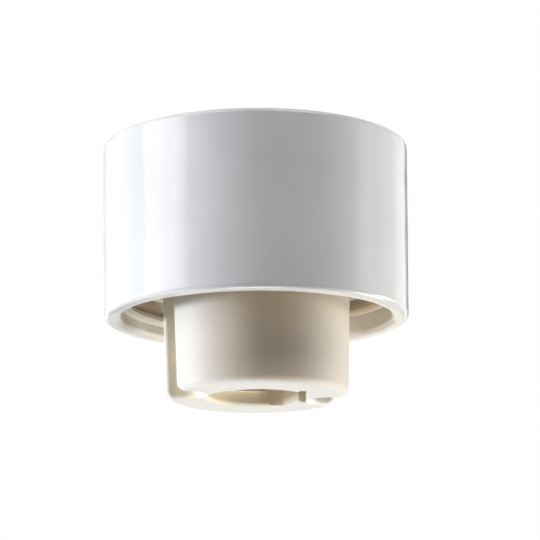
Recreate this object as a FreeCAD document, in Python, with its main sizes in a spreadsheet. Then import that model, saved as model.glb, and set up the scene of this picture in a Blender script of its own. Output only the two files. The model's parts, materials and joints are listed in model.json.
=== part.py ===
"""Ceiling lamp holder: a glazed porcelain base that carries a ceramic screw lamp holder.

Millimetres. +Z is up, towards the ceiling. The origin is the centre of the ceiling face, and the
lamp opening looks down. Depths in the sheet are measured down from the ceiling face.
"""
import FreeCAD, Part
import os
import re

import Sketcher
from FreeCAD import Placement, Rotation, Vector

doc = FreeCAD.newDocument("ceiling_lamp_holder")

# Driving sizes

SIZES = {
    # porcelain base
    "base_depth": 56.0,
    "base_top_radius": 48.5,
    "base_mouth_radius": 48.0,
    "top_edge_round": 1.4,
    "rim_round": 1.6,
    "mouth_wall": 5.3,
    "plate_thickness": 7.0,
    "seat_height": 13.5,
    "seat_width": 4.2,
    "chamber_round": 3.0,
    # thread ridge for the glass globe
    "ridge_pitch": 4.0,
    "ridge_turns": 0.92,
    "ridge_start_height": 5.8,
    "ridge_start_angle": 110.0,
    "ridge_height": 1.9,
    "ridge_foot": 4.0,
    "ridge_crest": 2.0,
    "ridge_shoulder": 0.6,
    "ridge_bevel": 0.4,
    "ridge_root": 0.8,
    # rubber parts
    "gasket_inset": 5.0,
    "gasket_width": 5.0,
    "gasket_depth": 2.0,
    "globe_seal_thickness": 1.5,
    "entry_radius": 10.0,
    "grommet_collar": 2.7,
    "grommet_collar_thickness": 1.6,
    "grommet_snout": 6.0,
    "snout_root_wall": 3.4,
    "snout_tip_wall": 1.4,
    "cable_radius": 4.25,
    "fixing_hole_radius": 2.6,
    "fixing_seal_radius": 5.5,
    "fixing_seal_depth": 1.5,
    "fixing_seal_thickness": 2.2,
    "rubber_gap": 0.1,
    # pillars and the screws that hold the holder body
    "pillar_radius": 6.5,
    "pillar_offset": 20.0,
    "pillar_washer_thickness": 0.8,
    "holder_screw_radius": 1.95,
    "holder_head_radius": 3.5,
    "holder_head_height": 2.6,
    "screw_hole_gap": 0.3,
    "screw_hole_depth": 5.0,
    "washer_thickness": 0.8,
    "washer_radius": 4.3,
    "head_hole_gap": 0.3,
    "holder_nut_width": 7.0,
    "holder_nut_height": 3.2,
    "holder_nut_drop": 6.1,
    "nut_gap": 0.1,
    "thread_gap": 0.05,
    "screw_end": 1.6,
    # holder body
    "total_depth": 81.0,
    "holder_top_depth": 30.0,
    "holder_top_radius": 30.1,
    "holder_face_radius": 28.6,
    "face_edge_round": 2.6,
    "channel_radius": 6.45,
    "channel_offset": 22.9,
    "channel_edge_round": 1.4,
    "opening_round": 1.5,
    "opening_step_height": 4.8,
    "opening_step_width": 1.4,
    "wiring_slot_depth": 8.0,
    "web_thickness": 6.0,
    "wiring_slot_width": 26.0,
    # lobe, slot and rib of the lamp opening
    "lobe_reach": 0.8,
    "lobe_radius": 7.6,
    "lobe_angle": 60.0,
    "lobe_height": 14.0,
    "slot_reach": 0.1,
    "slot_width": 2.3,
    "slot_far": 7.6,
    "slot_near": 12.5,
    "rib_width": 5.0,
    "rib_start": 3.6,
    "rib_length": 11.0,
    "rib_height": 6.8,
    # lamp thread sleeve
    "shell_radius": 12.9,
    "shell_sheet": 0.4,
    "shell_clearance": 0.6,
    "shell_rim_height": 9.0,
    "shell_flare": 0.35,
    "shell_floor_hole": 7.2,
    "shell_screw_offset": 9.6,
    "shell_screw_radius": 1.45,
    "shell_head_radius": 2.6,
    "shell_head_height": 1.8,
    "shell_nut_radius": 2.9,
    "shell_nut_height": 2.4,
    # centre contact
    "bush_radius": 3.4,
    "bush_bore_radius": 2.55,
    "bush_collar_radius": 5.0,
    "bush_collar_height": 1.2,
    "bush_below_collar": 1.2,
    "bush_lip": 0.8,
    "bush_end": 0.8,
    "bush_washer_thickness": 0.6,
    "bush_washer_radius": 6.4,
    "bush_nut_radius": 4.4,
    "bush_nut_height": 2.4,
    "plunger_radius": 1.9,
    "plunger_collar_height": 1.2,
    "plunger_reach": 4.3,
    "plunger_tip_round": 0.9,
    "running_gap": 0.05,
    "spring_wire_radius": 0.3,
    "spring_radius": 2.0,
    "spring_turns": 7.0,
    "bush_above_nut": 0.6,
    # terminals
    "tab_thickness": 0.8,
    "tab_width": 5.4,
    "tab_end": 3.5,
    "terminal_near": 6.5,
    "terminal_width": 6.5,
    "terminal_length": 12.0,
    "terminal_height": 6.5,
    "wire_hole_radius": 1.6,
    "wire_hole_height": 2.9,
    "wire_spacing": 6.0,
    "clamp_screw_radius": 1.45,
    "clamp_head_radius": 2.5,
    "clamp_head_height": 1.6,
    "clamp_screw_length": 2.9,
    # screwdriver slots
    "driver_slot_width": 0.9,
    "driver_slot_depth": 1.0,
}

sizes = doc.addObject("Spreadsheet::Sheet", "sizes")
for row, (alias, value) in enumerate(SIZES.items(), start=1):
    sizes.set("A%d" % row, alias.replace("_", " "))
    sizes.set("B%d" % row, str(value))
    sizes.setAlias("B%d" % row, alias)
doc.recompute()


# Expressions and simple solids

def bound(text):
    """Point every size name in an expression at the sheet."""
    return re.sub(r"\b[a-z][a-z_]*\b(?!\()", lambda name: "sizes." + name.group(0), text)


def number(text):
    """The present value of an expression in the sheet's names."""
    return float(sizes.evalExpression(bound(text)))


def place(thing, x="0", y="0", z="0"):
    """Bind where a thing stands."""
    for axis, text in zip("xyz", (x, y, z)):
        thing.setExpression("Placement.Base." + axis, bound(text))
    return thing


def cylinder(name, radius, height, x="0", y="0", z="0"):
    """An upright cylinder that stands on z."""
    thing = doc.addObject("Part::Cylinder", name)
    thing.setExpression("Radius", bound(radius))
    thing.setExpression("Height", bound(height))
    return place(thing, x, y, z)


def box(name, length, width, height, x, y, z):
    """A box with its lowest corner at x, y, z."""
    thing = doc.addObject("Part::Box", name)
    thing.setExpression("Length", bound(length))
    thing.setExpression("Width", bound(width))
    thing.setExpression("Height", bound(height))
    return place(thing, x, y, z)


def prism(name, corners, radius, height, x="0", y="0", z="0"):
    """A nut's blank: an upright prism with its corners on a circle."""
    thing = doc.addObject("Part::Prism", name)
    thing.Polygon = corners
    thing.setExpression("Circumradius", bound(radius))
    thing.setExpression("Height", bound(height))
    return place(thing, x, y, z)


def fuse(name, shapes):
    """Several solids as one."""
    thing = doc.addObject("Part::MultiFuse", name)
    thing.Shapes = shapes
    thing.Refine = True
    return thing


def cut(name, base, tools):
    """A solid with one or more tools taken out of it."""
    thing = doc.addObject("Part::Cut", name)
    thing.Base = base
    thing.Tool = tools[0] if len(tools) == 1 else fuse(name + "_tools", tools)
    thing.Refine = True
    return thing


def group(name, members):
    """Like pieces that share one node."""
    thing = doc.addObject("Part::Compound", name)
    thing.Links = members
    return thing


def origin_plane(body, role):
    """One of a body's own origin planes or axes."""
    return [feature for feature in body.Origin.OriginFeatures if feature.Role == role][0]


def outline(sketch, corners):
    """Close a polygon whose corners are pairs of expressions, each bound to the sheet."""
    points = [Vector(number(u), number(v), 0) for u, v in corners]
    for index, point in enumerate(points):
        sketch.addGeometry(Part.LineSegment(point, points[(index + 1) % len(points)]))
    for index in range(len(points)):
        following = (index + 1) % len(points)
        sketch.addConstraint(Sketcher.Constraint("Coincident", index, 2, following, 1))
    for index, (point, texts) in enumerate(zip(points, corners)):
        for kind, length, text in zip(("DistanceX", "DistanceY"), (point.x, point.y), texts):
            spot = sketch.addConstraint(Sketcher.Constraint(kind, -1, 1, index, 1, length))
            sketch.setExpression("Constraints[%d]" % spot, bound(text))


def turned(name, corners, x="0", y="0"):
    """A body turned about an upright axis from its half section: radius, height pairs."""
    body = doc.addObject("PartDesign::Body", name)
    sketch = body.newObject("Sketcher::SketchObject", name + "_section")
    sketch.AttachmentSupport = [(origin_plane(body, "XZ_Plane"), "")]
    sketch.MapMode = "FlatFace"
    outline(sketch, corners)
    turning = body.newObject("PartDesign::Revolution", name + "_turning")
    turning.Profile = sketch
    turning.ReferenceAxis = (sketch, ["V_Axis"])
    turning.Angle = 360
    place(body, x, y)
    doc.recompute()
    return body


def washer(name, inner, outer, thickness, x="0", y="0", z="0"):
    """A flat ring that stands on z."""
    top = "(%s) + (%s)" % (z, thickness)
    return turned(name, [(inner, z), (outer, z), (outer, top), (inner, top)], x, y)


def rounded(body, name, radius, wanted):
    """Round the edges of a body's last feature that the test picks out."""
    edges = body.Tip.Shape.Edges
    picked = ["Edge%d" % (index + 1) for index, edge in enumerate(edges) if wanted(edge)]
    if not picked:
        raise RuntimeError("no edge for %s" % name)
    fillet = body.newObject("PartDesign::Fillet", name)
    fillet.Base = (fillet.BaseFeature, picked)
    fillet.setExpression("Radius", bound(radius))
    body.Tip = fillet
    doc.recompute()


def ring_edge(radius, height):
    """A test for the round edge of a turned body at a radius and height."""
    def wanted(edge):
        spot = edge.Vertexes[0].Point
        across = (spot.x ** 2 + spot.y ** 2) ** 0.5
        level = edge.BoundBox.ZLength < 0.01
        return level and abs(across - number(radius)) < 1e-4 and abs(spot.z - number(height)) < 1e-4
    return wanted


def coil(name, radius, pitch, height, section, x="0", y="0", z="0", angle="0"):
    """A section swept along a right-hand helix, which climbs from z."""
    path = doc.addObject("Part::Helix", name + "_path")
    path.setExpression("Radius", bound(radius))
    path.setExpression("Pitch", bound(pitch))
    path.setExpression("Height", bound(height))
    path.Placement = Placement(Vector(), Rotation(Vector(0, 0, 1), number(angle)))
    place(path, x, y, z)
    doc.recompute()
    sweep = doc.addObject("Part::Sweep", name)
    sweep.Sections = [section]
    sweep.Spine = (path, ["Edge%d" % (index + 1) for index in range(len(path.Shape.Edges))])
    sweep.Solid = True
    sweep.Frenet = True
    doc.recompute()
    return sweep


def slotted(name, screw, head_radius, head_foot, x="0", y="0"):
    """A screw with a screwdriver slot across its head; head_foot is the head's outer face."""
    slot = box(name + "_slot", "2 * (%s)" % head_radius, "driver_slot_width", "driver_slot_depth",
               "(%s) - (%s)" % (x, head_radius), "(%s) - driver_slot_width / 2" % y, head_foot)
    return cut(name, screw, [slot])


# Where the pieces stand, as expressions in the sheet's names

MOUTH = "-base_depth"
FACE = "-total_depth"
HOLDER_TOP = "-holder_top_depth"
PILLAR_FOOT = "-holder_top_depth + pillar_washer_thickness"
SEAT = "-base_depth + seat_height"
WEB_TOP = "-holder_top_depth - wiring_slot_depth"
WEB_FOOT = WEB_TOP + " - web_thickness"
SHELL_RIM = "-total_depth + shell_rim_height"
OPENING_STEP = "-total_depth + opening_step_height"
SCREW_TIP_DEPTH = "holder_top_depth + holder_nut_drop + holder_nut_height + screw_end"
COLLAR_TOP = WEB_FOOT + " - bush_washer_thickness"
BUSH_FOOT = COLLAR_TOP + " - bush_collar_height - bush_below_collar"
BUSH_TOP = WEB_TOP + " + tab_thickness + bush_nut_height + bush_above_nut"
NUT_FOOT = "-holder_top_depth - holder_nut_drop - holder_nut_height"
MOUTH_RADIUS = "(base_mouth_radius - mouth_wall)"
CHAMBER_RADIUS = "(%s - seat_width)" % MOUTH_RADIUS
GASKET_INNER = "base_top_radius - gasket_inset - gasket_width / 2"
GASKET_OUTER = "base_top_radius - gasket_inset + gasket_width / 2"
SHELL_BORE = "(shell_radius + shell_sheet + shell_clearance)"
OPENING_RADIUS = "(%s + opening_step_width)" % SHELL_BORE
LOBE_OFFSET = "(%s + lobe_reach - lobe_radius)" % OPENING_RADIUS
SLOT_LEFT = OPENING_RADIUS + " + slot_reach - slot_width"
SIDES = (("far", 1), ("near", -1))


# Porcelain base

def porcelain_base():
    """The glazed casting: wall, ceiling plate, pillars, seats and the globe's thread ridge."""
    body = turned("base_casting", [
        ("0", "0"),
        ("base_top_radius", "0"),
        ("base_mouth_radius", MOUTH),
        (MOUTH_RADIUS, MOUTH),
        (MOUTH_RADIUS, SEAT),
        (CHAMBER_RADIUS, SEAT),
        (CHAMBER_RADIUS, "-plate_thickness"),
        ("0", "-plate_thickness"),
    ])
    rounded(body, "ceiling_edge", "top_edge_round", ring_edge("base_top_radius", "0"))
    rounded(body, "rim_outer_edge", "rim_round", ring_edge("base_mouth_radius", MOUTH))
    rounded(body, "rim_inner_edge", "rim_round", ring_edge(MOUTH_RADIUS, MOUTH))
    rounded(body, "chamber_corner", "chamber_round", ring_edge(CHAMBER_RADIUS, "-plate_thickness"))

    pillars = [cylinder("pillar_" + side, "pillar_radius", "holder_top_depth - pillar_washer_thickness"
                        " - plate_thickness / 2", "0", "%d * pillar_offset" % sign, PILLAR_FOOT)
               for side, sign in SIDES]
    solid = fuse("base_solid", [body, thread_ridge()] + pillars)

    tools = [
        washer("gasket_groove", GASKET_INNER, GASKET_OUTER, "gasket_depth", z="-gasket_depth"),
        cylinder("entry_hole", "entry_radius", "plate_thickness", z="-plate_thickness"),
        cylinder("entry_recess", "entry_radius + grommet_collar + rubber_gap",
                 "grommet_collar_thickness", z="-grommet_collar_thickness"),
    ]
    for side, sign in SIDES:
        spot = ("0", "%d * pillar_offset" % sign)
        tools.append(cylinder("pillar_hole_" + side, "holder_screw_radius + screw_hole_gap",
                              "holder_top_depth", *spot, HOLDER_TOP))
        tools.append(cylinder("head_hole_" + side, "washer_radius + head_hole_gap",
                              "screw_hole_depth", *spot, "-screw_hole_depth"))
        spot = ("%d * channel_offset" % sign, "%d * channel_radius" % sign)
        tools.append(cylinder("fixing_hole_" + side, "fixing_hole_radius", "plate_thickness",
                              *spot, "-plate_thickness"))
        tools.append(cylinder("fixing_recess_" + side, "fixing_seal_radius", "fixing_seal_depth",
                              *spot, "-plate_thickness"))
    return cut("porcelain_base", solid, tools)


def thread_ridge():
    """One turn of a coarse rounded thread that holds the glass globe."""
    crest = MOUTH_RADIUS + " - ridge_height"
    shoulder = crest + " + ridge_shoulder"
    section = doc.addObject("Sketcher::SketchObject", "ridge_section")
    outline(section, [
        (MOUTH_RADIUS + " + ridge_root", "-ridge_foot / 2"),
        (MOUTH_RADIUS, "-ridge_foot / 2"),
        (shoulder, "-ridge_crest / 2 - ridge_bevel"),
        (crest, "-ridge_crest / 2 + ridge_bevel"),
        (crest, "ridge_crest / 2 - ridge_bevel"),
        (shoulder, "ridge_crest / 2 + ridge_bevel"),
        (MOUTH_RADIUS, "ridge_foot / 2"),
        (MOUTH_RADIUS + " + ridge_root", "ridge_foot / 2"),
    ])
    turn = Rotation(Vector(0, 0, 1), number("ridge_start_angle"))
    section.Placement = Placement(Vector(), turn * Rotation(Vector(1, 0, 0), 90))
    section.setExpression("Placement.Base.z", bound(MOUTH + " + ridge_start_height"))
    return coil("thread_ridge", MOUTH_RADIUS, "ridge_pitch", "ridge_pitch * ridge_turns", section,
                z=MOUTH + " + ridge_start_height", angle="ridge_start_angle")


# Rubber parts of the base

def ceiling_gasket():
    """Ring that seals the base against the ceiling."""
    return washer("ceiling_gasket", GASKET_INNER + " + rubber_gap", GASKET_OUTER + " - rubber_gap",
                  "gasket_depth", z="-gasket_depth")


def cable_grommet():
    """Bush with a collar on each side of the plate and a tapered snout for the cable."""
    neck = "entry_radius - rubber_gap"
    collar = "entry_radius + grommet_collar"
    below = "-plate_thickness - grommet_collar_thickness"
    return turned("cable_grommet", [
        ("cable_radius", "0"),
        (collar, "0"),
        (collar, "-grommet_collar_thickness"),
        (neck, "-grommet_collar_thickness"),
        (neck, "-plate_thickness"),
        (collar, "-plate_thickness"),
        (collar, below),
        ("cable_radius + snout_root_wall", below),
        ("cable_radius + snout_tip_wall", below + " - grommet_snout"),
        ("cable_radius", below + " - grommet_snout"),
    ])


def fixing_seals():
    """Rings in the two fixing holes' recesses, under the ceiling screws' heads."""
    foot = "-plate_thickness + fixing_seal_depth - fixing_seal_thickness"
    return group("fixing_seals", [
        washer("fixing_seal_" + side, "fixing_hole_radius", "fixing_seal_radius - rubber_gap",
               "fixing_seal_thickness", "%d * channel_offset" % sign, "%d * channel_radius" % sign, foot)
        for side, sign in SIDES])


def globe_seal():
    """Ring that lies on the seat above the thread ridge, where the globe's rim presses."""
    return washer("globe_seal", CHAMBER_RADIUS + " + rubber_gap", MOUTH_RADIUS + " - rubber_gap",
                  "globe_seal_thickness", z=SEAT + " - globe_seal_thickness")


# Holder body

def channel(body):
    """The two U channels, open outwards, with their flat side in the plane through the axis."""
    sketch = body.newObject("Sketcher::SketchObject", "channel_section")
    sketch.AttachmentSupport = [(origin_plane(body, "XY_Plane"), "")]
    sketch.MapMode = "FlatFace"
    centre = Vector(-number("channel_offset"), -number("channel_radius"), 0)
    radius = number("channel_radius")
    outside = -number("base_top_radius")
    corners = [Vector(centre.x, 0, 0), Vector(outside, 0, 0),
               Vector(outside, 2 * centre.y, 0), Vector(centre.x, 2 * centre.y, 0)]
    for start, end in zip(corners, corners[1:]):
        sketch.addGeometry(Part.LineSegment(start, end))
    across = Vector(centre.x + radius, centre.y, 0)
    sketch.addGeometry(Part.Arc(corners[3], across, corners[0]))
    for index in range(2):
        sketch.addConstraint(Sketcher.Constraint("Coincident", index, 2, index + 1, 1))
    sketch.addConstraint(Sketcher.Constraint("Tangent", 2, 2, 3, 1))
    sketch.addConstraint(Sketcher.Constraint("Tangent", 3, 2, 0, 1))
    sketch.addConstraint(Sketcher.Constraint("Horizontal", 0))
    sketch.addConstraint(Sketcher.Constraint("Vertical", 1))
    for kind, geometry, point, length, text in (
            ("DistanceX", 3, 3, centre.x, "-channel_offset"),
            ("DistanceY", 3, 3, centre.y, "-channel_radius"),
            ("DistanceX", 0, 2, outside, "-base_top_radius")):
        spot = sketch.addConstraint(Sketcher.Constraint(kind, -1, 1, geometry, point, length))
        sketch.setExpression("Constraints[%d]" % spot, bound(text))
    spot = sketch.addConstraint(Sketcher.Constraint("Radius", 3, radius))
    sketch.setExpression("Constraints[%d]" % spot, bound("channel_radius"))
    doc.recompute()

    before = body.Shape.Volume
    pocket = body.newObject("PartDesign::Pocket", "channel_pocket")
    pocket.Profile = sketch
    pocket.Type = "ThroughAll"
    pocket.Midplane = True
    doc.recompute()
    pattern = body.newObject("PartDesign::PolarPattern", "channel_pair")
    pattern.Originals = [pocket]
    pattern.Axis = (origin_plane(body, "Z_Axis"), [""])
    pattern.Angle = 360
    pattern.Occurrences = 2
    body.Tip = pattern
    doc.recompute()
    assert body.Shape.Volume < before


def channel_near_edge(edge):
    """A test for the upright edges where each channel's rounded side meets the outer wall."""
    low = edge.BoundBox
    if low.ZLength < number("face_edge_round + 1"):
        return False
    middle = edge.valueAt((edge.FirstParameter + edge.LastParameter) / 2)
    side = abs(abs(middle.y) - 2 * number("channel_radius")) < 0.01
    return side and abs(middle.x) > number("channel_offset") + 0.1


def lamp_opening():
    """Tool for the lamp opening: rounded mouth, step and the sleeve's bore up to the web."""
    below = FACE + " - opening_round"
    tool = turned("lamp_opening", [
        ("0", below),
        (OPENING_RADIUS + " + 2 * opening_round", below),
        (OPENING_RADIUS + " + 2 * opening_round", FACE),
        (OPENING_RADIUS, FACE),
        (OPENING_RADIUS, OPENING_STEP),
        (SHELL_BORE, OPENING_STEP),
        (SHELL_BORE, WEB_FOOT),
        ("0", WEB_FOOT),
    ])
    rounded(tool, "opening_edge", "opening_round", ring_edge(OPENING_RADIUS, FACE))
    return tool


def opening_rib():
    """Wedge that runs from the lobe's wall to a thin edge beside the slot."""
    body = doc.addObject("PartDesign::Body", "opening_rib")
    sketch = body.newObject("Sketcher::SketchObject", "rib_section")
    sketch.AttachmentSupport = [(origin_plane(body, "XY_Plane"), "")]
    sketch.MapMode = "FlatFace"
    rib_end = "rib_start + rib_length"
    outline(sketch, [
        (SLOT_LEFT, "rib_start"),
        (SLOT_LEFT, rib_end),
        (SLOT_LEFT + " - rib_width", rib_end),
    ])
    pad = body.newObject("PartDesign::Pad", "rib_pad")
    pad.Profile = sketch
    pad.setExpression("Length", bound("rib_height"))
    place(body, z=FACE)
    doc.recompute()
    return body


def holder_body():
    """The ceramic body: lamp opening below, web, and wiring slot on its back."""
    body = turned("holder_turning", [
        ("0", FACE),
        ("holder_face_radius", FACE),
        ("holder_top_radius", HOLDER_TOP),
        ("0", HOLDER_TOP),
    ])
    rounded(body, "face_edge", "face_edge_round", ring_edge("holder_face_radius", FACE))
    channel(body)
    rounded(body, "channel_edges", "channel_edge_round", channel_near_edge)

    reach = "base_top_radius"
    tools = [
        lamp_opening(),
        box("wiring_slot", "2 * " + reach, "wiring_slot_width", "wiring_slot_depth",
            "-" + reach, "-wiring_slot_width / 2", WEB_TOP),
        cylinder("bush_hole", "bush_radius + rubber_gap", "web_thickness", z=WEB_FOOT),
        cylinder("opening_lobe", "lobe_radius", "lobe_height", LOBE_OFFSET + " * cos(lobe_angle)",
                 LOBE_OFFSET + " * sin(lobe_angle)", FACE),
        box("opening_slot", "slot_width", "slot_far + slot_near", "lobe_height", SLOT_LEFT,
            "-slot_near", FACE),
    ]
    nut_slot_width = "(holder_nut_width + 2 * nut_gap)"
    nut_slot_start = "(pillar_offset - %s / 2)" % nut_slot_width
    for side, sign in SIDES:
        tools.append(cylinder("shell_screw_hole_" + side, "shell_screw_radius + rubber_gap",
                              "web_thickness", "0", "%d * shell_screw_offset" % sign, WEB_FOOT))
        tools.append(cylinder("holder_screw_hole_" + side, "holder_screw_radius + screw_hole_gap",
                              SCREW_TIP_DEPTH + " + screw_end - holder_top_depth",
                              "0", "%d * pillar_offset" % sign, "-(%s) - screw_end" % SCREW_TIP_DEPTH))
        tools.append(box("nut_slot_" + side, nut_slot_width, "%s - %s" % (reach, nut_slot_start),
                         "holder_nut_height + nut_gap", "-%s / 2" % nut_slot_width,
                         nut_slot_start if sign > 0 else "-" + reach,
                         NUT_FOOT + " - nut_gap"))
    hollowed = cut("holder_hollowed", body, tools)
    return fuse("holder_body", [hollowed, opening_rib()])


# Screws, washers and nuts that hold the holder body

def holder_screws():
    """Two long machine screws, heads sunk in the ceiling face."""
    head_foot = "-screw_hole_depth + washer_thickness"
    tip = "-(%s)" % SCREW_TIP_DEPTH
    screws = []
    for side, sign in SIDES:
        y = "%d * pillar_offset" % sign
        shank = cylinder("holder_shank_" + side, "holder_screw_radius",
                         "%s - (%s)" % (head_foot, tip), "0", y, tip)
        head = cylinder("holder_head_" + side, "holder_head_radius", "holder_head_height",
                        "0", y, head_foot)
        screws.append(slotted("holder_screw_" + side, fuse("holder_blank_" + side, [shank, head]),
                              "holder_head_radius",
                              head_foot + " + holder_head_height - driver_slot_depth", "0", y))
    return group("holder_screws", screws)


def holder_washers():
    """Washers under the two heads."""
    return group("holder_washers", [
        washer("holder_washer_" + side, "holder_screw_radius + screw_hole_gap", "washer_radius",
               "washer_thickness", "0", "%d * pillar_offset" % sign, "-screw_hole_depth")
        for side, sign in SIDES])


def pillar_washers():
    """Fibre washers between the pillars and the holder body."""
    return group("pillar_washers", [
        washer("pillar_washer_" + side, "holder_screw_radius + screw_hole_gap", "pillar_radius",
               "pillar_washer_thickness", "0", "%d * pillar_offset" % sign, HOLDER_TOP)
        for side, sign in SIDES])


def holder_nuts():
    """Square nuts in the slots of the holder body."""
    nuts = []
    for side, sign in SIDES:
        y = "%d * pillar_offset" % sign
        blank = box("holder_nut_blank_" + side, "holder_nut_width", "holder_nut_width",
                    "holder_nut_height", "-holder_nut_width / 2", y + " - holder_nut_width / 2", NUT_FOOT)
        hole = cylinder("holder_nut_hole_" + side, "holder_screw_radius + thread_gap",
                        "holder_nut_height", "0", y, NUT_FOOT)
        nuts.append(cut("holder_nut_" + side, blank, [hole]))
    return group("holder_nuts", nuts)


# Lamp thread sleeve with its screws and nuts

def screw_shell():
    """The sleeve that takes the lamp's thread: flared rim, plain wall and pierced floor."""
    outer = "shell_radius + shell_sheet"
    sleeve = turned("shell_sleeve", [
        ("shell_floor_hole", WEB_FOOT),
        (outer, WEB_FOOT),
        (outer, SHELL_RIM + " + 2 * shell_flare"),
        (outer + " + shell_flare", SHELL_RIM),
        ("shell_radius + shell_flare", SHELL_RIM),
        ("shell_radius", SHELL_RIM + " + 2 * shell_flare"),
        ("shell_radius", WEB_FOOT + " - shell_sheet"),
        ("shell_floor_hole", WEB_FOOT + " - shell_sheet"),
    ])
    holes = [cylinder("shell_floor_hole_" + side, "shell_screw_radius + rubber_gap", "shell_sheet",
                      "0", "%d * shell_screw_offset" % sign, WEB_FOOT + " - shell_sheet")
             for side, sign in SIDES]
    return cut("screw_shell", sleeve, holes)


def shell_screws():
    """Two screws that hold the sleeve's floor to the web."""
    head_top = WEB_FOOT + " - shell_sheet"
    head_foot = head_top + " - shell_head_height"
    tip = WEB_TOP + " + tab_thickness + shell_nut_height + screw_end / 2"
    screws = []
    for side, sign in SIDES:
        y = "%d * shell_screw_offset" % sign
        shank = cylinder("shell_shank_" + side, "shell_screw_radius",
                         "%s - (%s)" % (tip, head_foot), "0", y, head_foot)
        head = cylinder("shell_head_" + side, "shell_head_radius", "shell_head_height",
                        "0", y, head_foot)
        screws.append(slotted("shell_screw_" + side, fuse("shell_screw_blank_" + side, [shank, head]),
                              "shell_head_radius", head_foot, "0", y))
    return group("shell_screws", screws)


def shell_nuts():
    """Their nuts: the near one presses the neutral terminal's tab."""
    nuts = []
    for side, sign in SIDES:
        y = "%d * shell_screw_offset" % sign
        foot = WEB_TOP if side == "far" else WEB_TOP + " + tab_thickness"
        blank = prism("shell_nut_blank_" + side, 6, "shell_nut_radius", "shell_nut_height", "0", y, foot)
        hole = cylinder("shell_nut_hole_" + side, "shell_screw_radius + thread_gap",
                        "shell_nut_height", "0", y, foot)
        nuts.append(cut("shell_nut_" + side, blank, [hole]))
    return group("shell_nuts", nuts)


# Centre contact

def contact_bush():
    """Brass bush with a collar, a lip that keeps the plunger in, and a closed end."""
    return turned("contact_bush", [
        ("plunger_radius + running_gap", BUSH_FOOT),
        ("bush_radius", BUSH_FOOT),
        ("bush_radius", COLLAR_TOP + " - bush_collar_height"),
        ("bush_collar_radius", COLLAR_TOP + " - bush_collar_height"),
        ("bush_collar_radius", COLLAR_TOP),
        ("bush_radius", COLLAR_TOP),
        ("bush_radius", BUSH_TOP),
        ("0", BUSH_TOP),
        ("0", BUSH_TOP + " - bush_end"),
        ("bush_bore_radius", BUSH_TOP + " - bush_end"),
        ("bush_bore_radius", BUSH_FOOT + " + bush_lip"),
        ("plunger_radius + running_gap", BUSH_FOOT + " + bush_lip"),
    ])


def bush_washer():
    """Mica ring that keeps the bush's collar off the ceramic."""
    return washer("bush_washer", "bush_radius + rubber_gap", "bush_washer_radius",
                  "bush_washer_thickness", z=COLLAR_TOP)


def bush_nut():
    """Nut that clamps the bush and the line terminal's tab to the web."""
    foot = WEB_TOP + " + tab_thickness"
    blank = prism("bush_nut_blank", 6, "bush_nut_radius", "bush_nut_height", z=foot)
    return cut("bush_nut", blank, [
        cylinder("bush_nut_hole", "bush_radius + thread_gap", "bush_nut_height", z=foot)])


def contact_plunger():
    """The sprung centre contact, at rest against the bush's lip."""
    rest = BUSH_FOOT + " + bush_lip"
    tip = BUSH_FOOT + " - plunger_reach"
    collar = "bush_bore_radius - running_gap"
    plunger = turned("contact_plunger", [
        ("0", tip),
        ("plunger_radius", tip),
        ("plunger_radius", rest),
        (collar, rest),
        (collar, rest + " + plunger_collar_height"),
        ("0", rest + " + plunger_collar_height"),
    ])
    rounded(plunger, "plunger_tip", "plunger_tip_round", ring_edge("plunger_radius", tip))
    return plunger


def contact_spring():
    """Coil spring between the plunger's collar and the bush's closed end."""
    start = BUSH_FOOT + " + bush_lip + plunger_collar_height + spring_wire_radius"
    height = "(%s - bush_end - spring_wire_radius) - (%s)" % (BUSH_TOP, start)
    section = doc.addObject("Part::Circle", "spring_section")
    section.setExpression("Radius", bound("spring_wire_radius"))
    section.Placement = Placement(Vector(), Rotation(Vector(1, 0, 0), 90))
    place(section, "spring_radius", "0", start)
    return coil("contact_spring", "spring_radius", "(%s) / spring_turns" % height, height, section,
                z=start)


# Terminals

def terminal(name, sign, tabs):
    """A terminal block with two wire holes and two clamp screw holes, joined to its tabs."""
    near = "terminal_near" if sign > 0 else "-terminal_near - terminal_width"
    block = box(name + "_block", "terminal_width", "terminal_length", "terminal_height",
                near, "-terminal_length / 2", WEB_TOP)
    tools = []
    for side, along in SIDES:
        y = "%d * wire_spacing / 2" % along
        wire_hole = cylinder(name + "_wire_hole_" + side, "wire_hole_radius", "terminal_width",
                             near, y, WEB_TOP + " + wire_hole_height")
        wire_hole.Placement.Rotation = Rotation(Vector(0, 1, 0), 90)
        tools.append(wire_hole)
        tools.append(cylinder(name + "_clamp_hole_" + side, "clamp_screw_radius + thread_gap",
                              "terminal_height - wire_hole_height", near + " + terminal_width / 2", y,
                              WEB_TOP + " + wire_hole_height"))
    return fuse(name, [cut(name + "_drilled", block, tools)] + tabs)


def line_terminal():
    """The line terminal: its tab runs to the bush."""
    half = "(bush_nut_radius + nut_gap)"
    tab = box("line_tab", "terminal_near + %s" % half, "2 * " + half, "tab_thickness",
              "-" + half, "-" + half, WEB_TOP)
    hole = cylinder("line_tab_hole", "bush_radius + rubber_gap", "tab_thickness", z=WEB_TOP)
    return terminal("line_terminal", 1, [cut("line_tab_pierced", tab, [hole])])


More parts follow.
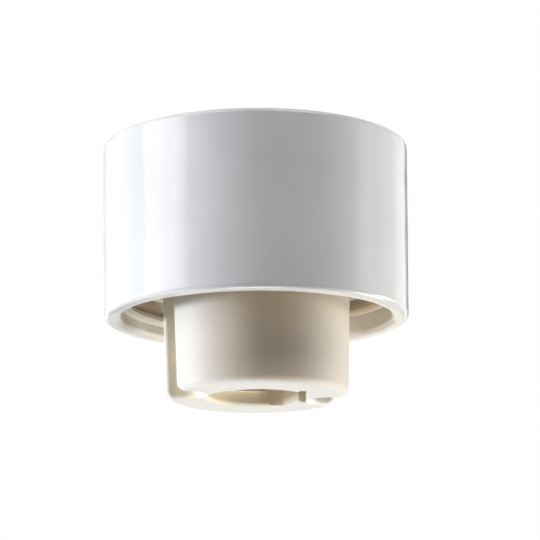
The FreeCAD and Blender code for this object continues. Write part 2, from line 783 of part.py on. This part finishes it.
def neutral_terminal():
    """The neutral terminal: its tab runs to the near shell screw."""
    far_side = "-terminal_near - terminal_width"
    low = "-shell_screw_offset - tab_width / 2"
    foot = box("neutral_foot", "terminal_width", "-terminal_length / 2 - (%s)" % low,
               "tab_thickness", far_side, low, WEB_TOP)
    strip = box("neutral_strip", "terminal_near + terminal_width + tab_end", "tab_width",
                "tab_thickness", far_side, low, WEB_TOP)
    hole = cylinder("neutral_tab_hole", "shell_screw_radius + rubber_gap", "tab_thickness",
                    "0", "-shell_screw_offset", WEB_TOP)
    tab = cut("neutral_tab_pierced", fuse("neutral_tab", [foot, strip]), [hole])
    return terminal("neutral_terminal", -1, [tab])


def clamp_screws(name, sign):
    """The two clamp screws of one terminal."""
    x = "%d * (terminal_near + terminal_width / 2)" % sign
    seat = WEB_TOP + " + terminal_height"
    screws = []
    for side, along in SIDES:
        y = "%d * wire_spacing / 2" % along
        shank = cylinder(name + "_shank_" + side, "clamp_screw_radius", "clamp_screw_length",
                         x, y, seat + " - clamp_screw_length")
        head = cylinder(name + "_head_" + side, "clamp_head_radius", "clamp_head_height", x, y, seat)
        screws.append(slotted(name + "_" + side, fuse(name + "_blank_" + side, [shank, head]),
                              "clamp_head_radius",
                              seat + " + clamp_head_height - driver_slot_depth", x, y))
    return group(name, screws)


# Build, check and write the pieces

doc.recompute()
parts = [
    porcelain_base(),
    ceiling_gasket(),
    cable_grommet(),
    fixing_seals(),
    globe_seal(),
    holder_body(),
    holder_screws(),
    holder_washers(),
    pillar_washers(),
    holder_nuts(),
    screw_shell(),
    shell_screws(),
    shell_nuts(),
    contact_bush(),
    bush_washer(),
    bush_nut(),
    contact_plunger(),
    contact_spring(),
    line_terminal(),
    neutral_terminal(),
    clamp_screws("line_clamp_screws", 1),
    clamp_screws("neutral_clamp_screws", -1),
]
doc.recompute()
for thing in doc.Objects:
    if {"Invalid", "Error"} & set(thing.State):
        raise RuntimeError("%s did not build: %s" % (thing.Label, thing.State))
os.makedirs("parts", exist_ok=True)
for part in parts:
    shape = part.Shape
    if shape.isNull() or not shape.isValid():
        raise RuntimeError("%s has no sound shape" % part.Label)
    print("%-22s solids %d  volume %.0f  z %.2f to %.2f" % (
        part.Label, len(shape.Solids), shape.Volume, shape.BoundBox.ZMin, shape.BoundBox.ZMax))
    shape.exportStep("parts/%s.step" % part.Label)
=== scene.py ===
"""Looks of the ceiling lamp holder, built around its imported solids. Metres, +Z up."""
import json
import math

import bpy
from mathutils import Matrix, Vector

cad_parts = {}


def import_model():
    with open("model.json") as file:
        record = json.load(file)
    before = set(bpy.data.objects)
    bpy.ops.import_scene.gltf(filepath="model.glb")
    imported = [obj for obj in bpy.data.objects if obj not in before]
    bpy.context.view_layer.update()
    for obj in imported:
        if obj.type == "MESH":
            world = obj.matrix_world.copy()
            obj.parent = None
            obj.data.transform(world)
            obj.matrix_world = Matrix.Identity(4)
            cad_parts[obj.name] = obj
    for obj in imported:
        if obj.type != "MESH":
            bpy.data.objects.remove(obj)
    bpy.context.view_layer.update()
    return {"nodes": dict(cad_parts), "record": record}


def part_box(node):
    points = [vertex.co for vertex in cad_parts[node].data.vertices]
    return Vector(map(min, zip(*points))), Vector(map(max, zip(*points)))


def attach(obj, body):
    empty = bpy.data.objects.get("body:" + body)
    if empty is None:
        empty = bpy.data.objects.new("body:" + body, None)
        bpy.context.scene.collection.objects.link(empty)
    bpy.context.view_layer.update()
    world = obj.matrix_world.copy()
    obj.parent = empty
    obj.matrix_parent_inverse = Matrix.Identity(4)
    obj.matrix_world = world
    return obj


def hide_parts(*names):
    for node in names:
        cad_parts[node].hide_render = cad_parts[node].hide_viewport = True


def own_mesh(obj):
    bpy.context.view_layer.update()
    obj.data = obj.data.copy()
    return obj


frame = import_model()
MM = 0.001

# Places on the part, in millimetres
SEAT = -50.5
CHAMBER = -47.5
MOUTH = -55.8
FACE = -80.8
LEFT_CHANNEL = (-22.9, -6.45)
RIGHT_CHANNEL = (22.9, 6.45)
LOBE = (4.6, 14.6)

# Where lamps and panels aim, in metres, and the height angle that the glazed wall mirrors
AIM = Vector((0.0, 0.0, -0.045))
MIRRORED = 12.7


# Node helpers

class Nodes:
    """A material's node tree, with short calls for the nodes used here."""

    def __init__(self, name):
        self.material = bpy.data.materials.new(name)
        self.material.use_nodes = True
        self.tree = self.material.node_tree
        self.shader = self.tree.nodes["Principled BSDF"]
        coordinates = self.tree.nodes.new("ShaderNodeTexCoord")
        scale = self.tree.nodes.new("ShaderNodeVectorMath")
        scale.operation = "SCALE"
        scale.inputs["Scale"].default_value = 1000.0
        self.tree.links.new(coordinates.outputs["Object"], scale.inputs[0])
        self.place = scale.outputs[0]

    def put(self, socket, value):
        """Link a socket or set it to a plain value."""
        if isinstance(value, bpy.types.NodeSocket):
            self.tree.links.new(value, socket)
        elif isinstance(value, (tuple, list)) and len(value) == 3 and len(socket.default_value) == 4:
            socket.default_value = (*value, 1.0)
        else:
            socket.default_value = value

    def set(self, **values):
        """Set the shader's own sockets."""
        for name, value in values.items():
            self.put(self.shader.inputs[name.replace("_", " ")], value)

    def math(self, operation, a, b=0.0):
        node = self.tree.nodes.new("ShaderNodeMath")
        node.operation = operation
        for socket, value in zip(node.inputs, (a, b)):
            self.put(socket, value)
        return node.outputs[0]

    def axis(self, name):
        """One coordinate of the object's own place, in millimetres."""
        node = self.tree.nodes.new("ShaderNodeSeparateXYZ")
        self.put(node.inputs[0], self.place)
        return node.outputs[name]

    def radius(self, x=0.0, y=0.0):
        """Distance from an upright axis, in millimetres."""
        across = self.math("SUBTRACT", self.axis("X"), x)
        along = self.math("SUBTRACT", self.axis("Y"), y)
        squares = self.math("ADD", self.math("MULTIPLY", across, across),
                            self.math("MULTIPLY", along, along))
        return self.math("SQRT", squares)

    def stretched(self, x=1.0, y=1.0, z=1.0):
        node = self.tree.nodes.new("ShaderNodeVectorMath")
        node.operation = "MULTIPLY"
        self.put(node.inputs[0], self.place)
        self.put(node.inputs[1], (x, y, z))
        return node.outputs[0]

    def noise(self, scale, detail=3.0, rough=0.5, place=None, distortion=0.0):
        """Noise with about `scale` features to the millimetre."""
        node = self.tree.nodes.new("ShaderNodeTexNoise")
        self.put(node.inputs["Vector"], self.place if place is None else place)
        self.put(node.inputs["Scale"], scale)
        self.put(node.inputs["Detail"], detail)
        self.put(node.inputs["Roughness"], rough)
        self.put(node.inputs["Distortion"], distortion)
        return node.outputs["Fac"]

    def drift(self, scale, size):
        """Soft wandering about 0, by up to about half of `size` millimetres."""
        return self.math("MULTIPLY", self.math("SUBTRACT", self.noise(scale, 2.0), 0.5), size)

    def cells(self, scale):
        node = self.tree.nodes.new("ShaderNodeTexVoronoi")
        self.put(node.inputs["Vector"], self.place)
        self.put(node.inputs["Scale"], scale)
        return node.outputs["Distance"]

    def span(self, value, low, high, to_low=0.0, to_high=1.0):
        """A value mapped from one range to another, held at the ends."""
        node = self.tree.nodes.new("ShaderNodeMapRange")
        node.interpolation_type = "SMOOTHSTEP"
        for name, part in (("Value", value), ("From Min", low), ("From Max", high),
                           ("To Min", to_low), ("To Max", to_high)):
            self.put(node.inputs[name], part)
        return node.outputs[0]

    def blend(self, factor, first, second):
        """Two colours mixed by a factor: 0 gives the first, 1 the second."""
        node = self.tree.nodes.new("ShaderNodeMix")
        node.data_type = "RGBA"
        # Inputs 6 and 7 and output 2 are this node's sockets for colours.
        self.put(node.inputs[0], factor)
        self.put(node.inputs[6], first)
        self.put(node.inputs[7], second)
        return node.outputs[2]

    def bump(self, height, depth, normal=None):
        """Bump whose height of 1 stands `depth` millimetres proud."""
        node = self.tree.nodes.new("ShaderNodeBump")
        self.put(node.inputs["Strength"], 1.0)
        self.put(node.inputs["Distance"], depth * MM)
        self.put(node.inputs["Height"], height)
        if normal is not None:
            self.put(node.inputs["Normal"], normal)
        return node.outputs[0]


# Materials

def glazed_porcelain():
    """White glaze outside; bare warm body on the ceiling face and inside the mouth.

    The bare body's tints, darker at the left and brown in the chamber, make up for light in the
    photograph that the lamps don't give.
    """
    n = Nodes("white_glaze")
    radius, height = n.radius(), n.axis("Z")
    wander = n.drift(0.12, 1.6)
    inside = n.span(n.math("ADD", radius, wander), 43.6, 42.4)
    above = n.span(n.math("ADD", height, n.math("MULTIPLY", wander, 0.3)), -0.35, -0.1)
    bare = n.math("MAXIMUM", inside, above)
    deep = n.span(n.math("ADD", height, n.math("MULTIPLY", wander, 0.5)), SEAT, CHAMBER)
    deep = n.math("MULTIPLY", deep, n.span(height, -2.0, -5.0))
    rim = n.math("MULTIPLY", n.span(height, MOUTH + 1.2, MOUTH), n.span(radius, 47.9, 46.2))
    cloud = n.span(n.noise(0.045, 3.0, 0.55), 0.3, 0.7)
    glaze = n.blend(cloud, (0.770, 0.775, 0.795), (0.820, 0.822, 0.835))
    # The rim is tinted warm, and darker towards the left; that darkening at the left is painted shade.
    # The same left-to-right mask paints the shade that darkens the bare body at the left.
    side = n.span(n.math("ADD", n.axis("X"), n.math("MULTIPLY", wander, 3.0)), -22.0, 26.0)
    glaze = n.blend(rim, glaze, n.blend(side, (0.72, 0.69, 0.63), (0.80, 0.77, 0.71)))
    grain = n.noise(0.5, 4.0, 0.6)
    left_body = n.blend(grain, (0.59, 0.54, 0.445), (0.65, 0.60, 0.50))
    right_body = n.blend(grain, (0.77, 0.70, 0.565), (0.83, 0.76, 0.625))
    body = n.blend(side, left_body, right_body)
    chamber = n.blend(side, (0.40, 0.30, 0.19), (0.58, 0.465, 0.31))
    body = n.blend(n.math("MULTIPLY", deep, inside), body, chamber)
    specks = n.span(n.cells(0.55), 0.10, 0.06)
    colour = n.blend(bare, glaze, body)
    rare = n.math("MULTIPLY", n.span(n.noise(0.21, 0.0), 0.68, 0.74), bare)
    colour = n.blend(n.math("MULTIPLY", specks, rare), colour, (0.42, 0.38, 0.33))
    n.set(Base_Color=colour, IOR=1.5)
    gloss = n.span(n.noise(0.09, 2.0), 0.3, 0.7, 0.11, 0.18)
    n.set(Roughness=n.math("ADD", gloss, n.math("MULTIPLY", bare, 0.42)))
    waves = n.bump(n.noise(0.06, 1.5, 0.4), 0.26)
    runs = n.bump(n.noise(0.16, 2.0, 0.5), 0.035, waves)
    peel = n.bump(n.noise(0.7, 2.0, 0.5), 0.006, runs)
    n.set(Normal=n.bump(n.math("MULTIPLY", n.noise(2.4, 3.0, 0.6), bare), 0.03, peel))
    return n.material


def cream_ceramic():
    """Pressed steatite: satin and fine grained.

    Its tints by place, warm in the middle of the front and pale at the left, on the end face and in
    the channels, make up for light in the photograph that the lamps don't give.
    """
    n = Nodes("cream_ceramic")
    cloud = n.noise(0.06, 3.0, 0.5)
    colour = n.blend(cloud, (0.775, 0.71, 0.615), (0.80, 0.745, 0.655))
    drift = n.math("ADD", n.axis("X"), n.drift(0.09, 5.0))
    front = n.span(n.axis("Y"), -6.0, -16.0)
    pale = n.math("MULTIPLY", n.span(drift, -9.0, -22.0), front)
    colour = n.blend(pale, colour, (0.785, 0.765, 0.725))
    off_centre = n.math("ABSOLUTE", n.math("SUBTRACT", drift, 4.0))
    warmed = n.math("MULTIPLY", n.span(off_centre, 17.0, 3.0), front)
    colour = n.blend(warmed, colour, (0.83, 0.72, 0.59))
    face = n.span(n.axis("Z"), FACE + 1.6, FACE)
    colour = n.blend(face, colour, (0.765, 0.742, 0.70))
    wander = n.drift(0.25, 0.8)
    # Painted light: the opening's inner walls get a brighter, warmer tint that stands in for light
    # bounced around inside the opening.
    inside = n.math("MULTIPLY", n.span(n.math("ADD", n.radius(), wander), 17.4, 16.2),
                    n.span(n.axis("Z"), -80.9, -80.0))
    colour = n.blend(inside, colour, (0.93, 0.84, 0.655))
    channel = n.math("MULTIPLY", n.span(n.radius(*RIGHT_CHANNEL), 8.0, 7.0),
                     n.span(n.axis("Z"), -66.0, -78.0))
    colour = n.blend(channel, colour, (0.93, 0.905, 0.86))
    colour = n.blend(n.span(n.radius(*LEFT_CHANNEL), 7.4, 6.6), colour, (0.90, 0.825, 0.67))
    # Painted shade: a darker, browner tint in the pocket of the opening's lobe.
    lobe_shade = n.math("MULTIPLY", n.span(n.math("ADD", n.radius(*LOBE), wander), 5.6, 2.6), inside)
    colour = n.blend(lobe_shade, colour, (0.86, 0.72, 0.52))
    specks = n.math("MULTIPLY", n.span(n.cells(0.8), 0.09, 0.05),
                    n.span(n.noise(0.33, 0.0), 0.6, 0.7))
    colour = n.blend(n.math("MULTIPLY", specks, 0.5), colour, (0.45, 0.38, 0.28))
    n.set(Base_Color=colour, IOR=1.42)
    n.set(Roughness=n.span(n.noise(0.4, 3.0), 0.3, 0.7, 0.44, 0.54))
    n.set(Sheen_Weight=0.15, Sheen_Roughness=0.4)
    coarse = n.bump(n.noise(0.09, 2.0), 0.10)
    n.set(Normal=n.bump(n.noise(3.0, 4.0, 0.6), 0.010, coarse))
    return n.material


def rubber(name, dark, light, rough):
    """Moulded rubber: matte and finely pitted."""
    n = Nodes(name)
    n.set(Base_Color=n.blend(n.noise(0.3, 4.0, 0.6), dark, light), IOR=1.52)
    n.set(Roughness=n.span(n.noise(0.8, 3.0), 0.3, 0.7, rough - 0.08, rough + 0.08))
    n.set(Normal=n.bump(n.noise(5.0, 3.0, 0.6), 0.02))
    return n.material


def metal(name, dark, light, rough, grain=(4.0, 4.0, 0.5)):
    """Turned or drawn metal: fine marks, faint stain and a worn sheen."""
    n = Nodes(name)
    marks = n.noise(1.0, 4.0, 0.6, n.stretched(*grain))
    stain = n.noise(0.4, 4.0, 0.6, distortion=0.4)
    n.set(Base_Color=n.blend(n.span(stain, 0.35, 0.7), light, dark), Metallic=1.0)
    wear = n.math("ADD", n.math("MULTIPLY", marks, 0.5), n.math("MULTIPLY", stain, 0.5))
    n.set(Roughness=n.span(wear, 0.3, 0.7, rough - 0.07, rough + 0.1))
    n.set(Normal=n.bump(marks, 0.006))
    return n.material


def fibre(name, dark, light, rough, flake):
    """Pressed washer stock: layered flakes."""
    n = Nodes(name)
    flakes = n.noise(flake, 4.0, 0.7, n.stretched(1.0, 1.0, 6.0))
    n.set(Base_Color=n.blend(n.span(flakes, 0.3, 0.7), dark, light), IOR=1.5)
    n.set(Roughness=n.span(flakes, 0.3, 0.7, rough, rough + 0.15))
    n.set(Normal=n.bump(flakes, 0.02))
    return n.material


MATERIALS = {
    "white_glaze": glazed_porcelain(),
    "cream_ceramic": cream_ceramic(),
    "black_rubber": rubber("black_rubber", (0.018, 0.018, 0.019), (0.045, 0.044, 0.042), 0.6),
    "pale_seal": rubber("pale_seal", (0.62, 0.60, 0.55), (0.70, 0.68, 0.63), 0.5),
    "zinc_plated_steel": metal("zinc_plated_steel", (0.42, 0.43, 0.42), (0.62, 0.62, 0.60), 0.32),
    "nickel_plate": metal("nickel_plate", (0.55, 0.52, 0.46), (0.72, 0.69, 0.62), 0.22),
    "brass": metal("brass", (0.48, 0.33, 0.13), (0.76, 0.58, 0.28), 0.28),
    "spring_steel": metal("spring_steel", (0.36, 0.36, 0.36), (0.55, 0.55, 0.54), 0.3),
    "fibre": fibre("fibre", (0.20, 0.045, 0.028), (0.33, 0.085, 0.05), 0.55, 0.9),
    "mica": fibre("mica", (0.42, 0.36, 0.26), (0.62, 0.56, 0.44), 0.35, 1.6),
}
SLOTS = {part["node"]: part["material_slot"] for part in frame["record"]["subparts"]}
for name, node in frame["nodes"].items():
    node.data.materials.clear()
    node.data.materials.append(MATERIALS[SLOTS[name]])


# Pieces

def grid(name, rows, slot, closed=True):
    """A mesh from rings of points in millimetres. The last ring meets the first, or both are capped."""
    around = len(rows[0])
    points = [point for row in rows for point in row]
    faces = []
    for i in range(len(rows) if closed else len(rows) - 1):
        below = (i + 1) % len(rows)
        for j in range(around):
            beside = (j + 1) % around
            faces.append((i * around + j, i * around + beside, below * around + beside,
                          below * around + j))
    if not closed:
        faces.append(tuple(reversed(range(around))))
        faces.append(tuple(range(len(points) - around, len(points))))
    mesh = bpy.data.meshes.new(name)
    mesh.from_pydata([tuple(value * MM for value in point) for point in points], [], faces)
    mesh.polygons.foreach_set("use_smooth", [True] * len(faces))
    mesh.materials.append(MATERIALS[slot])
    mesh.update()
    thing = bpy.data.objects.new(name, mesh)
    bpy.context.scene.collection.objects.link(thing)
    return thing


def thread_sleeve():
    """The sleeve that takes the lamp: sheet metal with a rolled round thread and a flared rim."""
    pitch, depth = 3.63, 0.35
    around, steps = 120, 110
    rim, foot = -72.0, -44.0
    sheet, wall, bend = 0.4, 12.9, 0.75
    hole, flat = 7.2, 11.2
    low, high = rim + 0.7, foot - 1.9
    # The thread runs from start to end, and rises and dies away over the fade.
    start, end, fade = rim + 2.2, foot - 4.0, 2.6
    levels = [low + (high - low) * k / steps for k in range(steps + 1)]
    section = [(hole, foot), (hole, foot - sheet), (flat, foot - sheet)]
    for turn in (75, 55, 35, 15):
        a = math.radians(turn)
        section.append((wall - bend + bend * math.cos(a),
                        foot - sheet - bend + bend * math.sin(a)))
    section += [(wall, level) for level in reversed(levels)]
    section += [(wall + 0.12, rim + 0.35), (wall + 0.35, rim + 0.08), (wall + 0.52, rim),
                (wall + 0.68, rim + 0.1), (wall + sheet + 0.2, rim + 0.45)]
    section += [(wall + sheet, level) for level in levels]
    for turn in (15, 35, 55, 75):
        a = math.radians(turn)
        section.append((wall - bend + (bend + sheet) * math.cos(a),
                        foot - sheet - bend + (bend + sheet) * math.sin(a)))
    section.append((flat, foot))
    rows = []
    for radius, height in section:
        ring = []
        rise = min(1.0, max(0.0, (height - start) / fade), max(0.0, (end - height) / fade))
        for j in range(around):
            angle = 2 * math.pi * j / around
            wave = math.sin(2 * math.pi * (height / pitch) - angle)
            reach = radius + rise * depth * wave
            ring.append((reach * math.cos(angle), reach * math.sin(angle), height))
        rows.append(ring)
    return grid("thread_sleeve", rows, "nickel_plate")


def coil_spring():
    """The contact's spring, a fixed coil over the height of the imported spring; the real one shortens
    as the contact is pressed.
    """
    low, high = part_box("contact_spring")
    wire, radius, turns, steps, around = 0.3, 2.0, 7, 30, 10
    start, end = low[2] / MM + wire, high[2] / MM - wire
    count = turns * steps
    rows = []
    for k in range(count + 1):
        angle = 2 * math.pi * k / steps
        out = Vector((math.cos(angle), math.sin(angle), 0.0))
        centre = out * radius + Vector((0.0, 0.0, start + (end - start) * k / count))
        ring = []
        for j in range(around):
            a = 2 * math.pi * j / around
            ring.append(centre + out * wire * math.cos(a) + Vector((0.0, 0.0, wire * math.sin(a))))
        rows.append(ring)
    return grid("coil_spring", rows, "spring_steel", closed=False)


sleeve = thread_sleeve()
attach(sleeve, "holder")
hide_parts("screw_shell")
spring = coil_spring()
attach(spring, "holder")
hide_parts("contact_spring")
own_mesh(spring)


# Stage, lamps and camera

def panel(name, width, height, material, level=0.0):
    """A flat stage piece, centred on its own upright axis at a level."""
    x, y = width / 2, height / 2
    corners = [(-x, -y, level), (x, -y, level), (x, y, level), (-x, y, level)]
    mesh = bpy.data.meshes.new(name)
    mesh.from_pydata(corners, [], [(0, 1, 2, 3)])
    mesh.materials.append(material)
    thing = bpy.data.objects.new(name, mesh)
    bpy.context.scene.collection.objects.link(thing)
    return thing


def aim(thing, azimuth, elevation, distance):
    """Place a lamp or panel around the part, facing it and unseen by the camera.

    Azimuth 0 is the camera's side and 90 the right. Angles are in degrees, distances in metres.
    """
    a, e = math.radians(azimuth), math.radians(elevation)
    away = Vector((math.sin(a) * math.cos(e), -math.cos(a) * math.cos(e), math.sin(e)))
    thing.location = AIM + away * distance
    thing.rotation_mode = "QUATERNION"
    thing.rotation_quaternion = (-away).to_track_quat("-Z", "Y")
    thing.visible_camera = False


def floor():
    """A floor of pale paint, low enough for views from below.

    The lamps are aimed at the part and light the floor little, so it looks dark grey from above.
    """
    side, level = 8.0, -1.0
    n = Nodes("floor_paint")
    n.set(Base_Color=n.blend(n.noise(0.004, 3.0), (0.80, 0.80, 0.80), (0.84, 0.84, 0.835)))
    n.set(Roughness=0.8)
    panel("floor", side, side, n.material, level)


def lamp(name, azimuth, elevation, distance, width, height, power, colour=(1.0, 1.0, 1.0)):
    """An area lamp aimed at the part."""
    light = bpy.data.lights.new(name, "AREA")
    light.shape = "RECTANGLE"
    light.size, light.size_y = width, height
    light.energy = power
    light.color = colour
    light.spread = math.radians(90)
    thing = bpy.data.objects.new(name, light)
    bpy.context.scene.collection.objects.link(thing)
    aim(thing, azimuth, elevation, distance)


def flag(name, azimuth, elevation, distance, width, height, shade, glow=0.0):
    """A matt or faintly lit panel, out of the picture, for the edges of the glaze to mirror."""
    n = Nodes(name)
    n.set(Base_Color=n.blend(n.noise(0.01, 2.0), (shade * 0.9,) * 3, (shade * 1.1,) * 3))
    n.set(Roughness=0.9, Emission_Color=(1.0, 1.0, 1.0), Emission_Strength=glow)
    aim(panel(name, width, height, n.material), azimuth, elevation, distance)


def world(level):
    """Even light, and plain white behind the part where it is seen or mirrored."""
    surroundings = bpy.data.worlds.new("surroundings")
    bpy.context.scene.world = surroundings
    surroundings.use_nodes = True
    tree = surroundings.node_tree
    background = tree.nodes["Background"]
    background.inputs["Color"].default_value = (1.0, 1.0, 1.0, 1.0)
    path = tree.nodes.new("ShaderNodeLightPath")
    seen = path.outputs["Is Camera Ray"]
    for kind in ("Is Glossy Ray", "Is Transmission Ray"):
        either = tree.nodes.new("ShaderNodeMath")
        either.operation = "MAXIMUM"
        tree.links.new(seen, either.inputs[0])
        tree.links.new(path.outputs[kind], either.inputs[1])
        seen = either.outputs[0]
    strength = tree.nodes.new("ShaderNodeMapRange")
    strength.inputs["To Min"].default_value = level
    strength.inputs["To Max"].default_value = 1.0
    tree.links.new(seen, strength.inputs["Value"])
    tree.links.new(strength.outputs[0], background.inputs["Strength"])


def camera():
    """The photograph's view: from below, through a long lens."""
    distance, elevation, roll = 0.8536, -0.2212, -0.0074
    target = Vector((0.0, 0.0, -0.0413))
    back = Vector((0.0, -math.cos(elevation), math.sin(elevation)))
    data = bpy.data.cameras.new("camera")
    data.sensor_width = 36.0
    pixels, focal = 540, 2694.5
    centre_x, centre_y = 256.02, 275.03
    data.lens = focal / pixels * data.sensor_width
    data.shift_x = (pixels / 2 - centre_x) / pixels
    data.shift_y = (centre_y - pixels / 2) / pixels
    data.clip_start = 0.01
    thing = bpy.data.objects.new("camera", data)
    bpy.context.scene.collection.objects.link(thing)
    thing.location = target + back * distance
    thing.rotation_mode = "QUATERNION"
    facing = (-back).to_track_quat("-Z", "Y")
    thing.rotation_quaternion = facing @ Matrix.Rotation(roll, 4, "Z").to_quaternion()
    bpy.context.scene.camera = thing


floor()
lamp("strip_left", -82, MIRRORED, 1.0, 0.25, 0.54, 0.290)
lamp("strip_left_near", -68, MIRRORED, 1.0, 0.25, 0.52, 0.300)
lamp("strip_left_front", -57, MIRRORED, 1.0, 0.18, 0.36, 0.130)
lamp("strip_right", 88, MIRRORED, 1.0, 0.25, 0.36, 0.060)
lamp("edge_strip", 133, MIRRORED, 1.0, 0.16, 0.36, 0.020)
lamp("edge_strip_back", 145, MIRRORED, 1.0, 0.22, 0.36, 0.019)
lamp("high_left", -40, 50, 1.0, 0.7, 0.5, 0.614)
lamp("high_front", 40, 50, 1.0, 0.7, 0.5, 1.20)
lamp("side_left", -90, -4, 1.0, 0.36, 0.14, 2.08, (0.93, 0.955, 1.0))
lamp("side_right", 112, -4, 1.0, 0.36, 0.14, 0.860)
lamp("low_right", 101, -32, 0.6, 0.4, 0.2, 0.616, (1.0, 0.935, 0.84))
lamp("low_left", -70, -45, 0.45, 0.2, 0.2, 0.066, (0.93, 0.97, 1.0))
lamp("under_left", -90, -60, 0.4, 0.34, 0.26, 0.045)
lamp("under_back", 180, -60, 0.4, 0.34, 0.26, 0.053)
lamp("under", 0, -88, 0.3, 0.12, 0.12, 0.103, (0.96, 0.985, 1.0))
flag("flag_right", 163, MIRRORED, 1.2, 0.38, 0.6, 0.10)
flag("flag_left", -162, MIRRORED, 1.2, 0.56, 0.6, 0.50, 0.62)
world(0.0)
camera()

bpy.context.scene.view_settings.view_transform = "Standard"
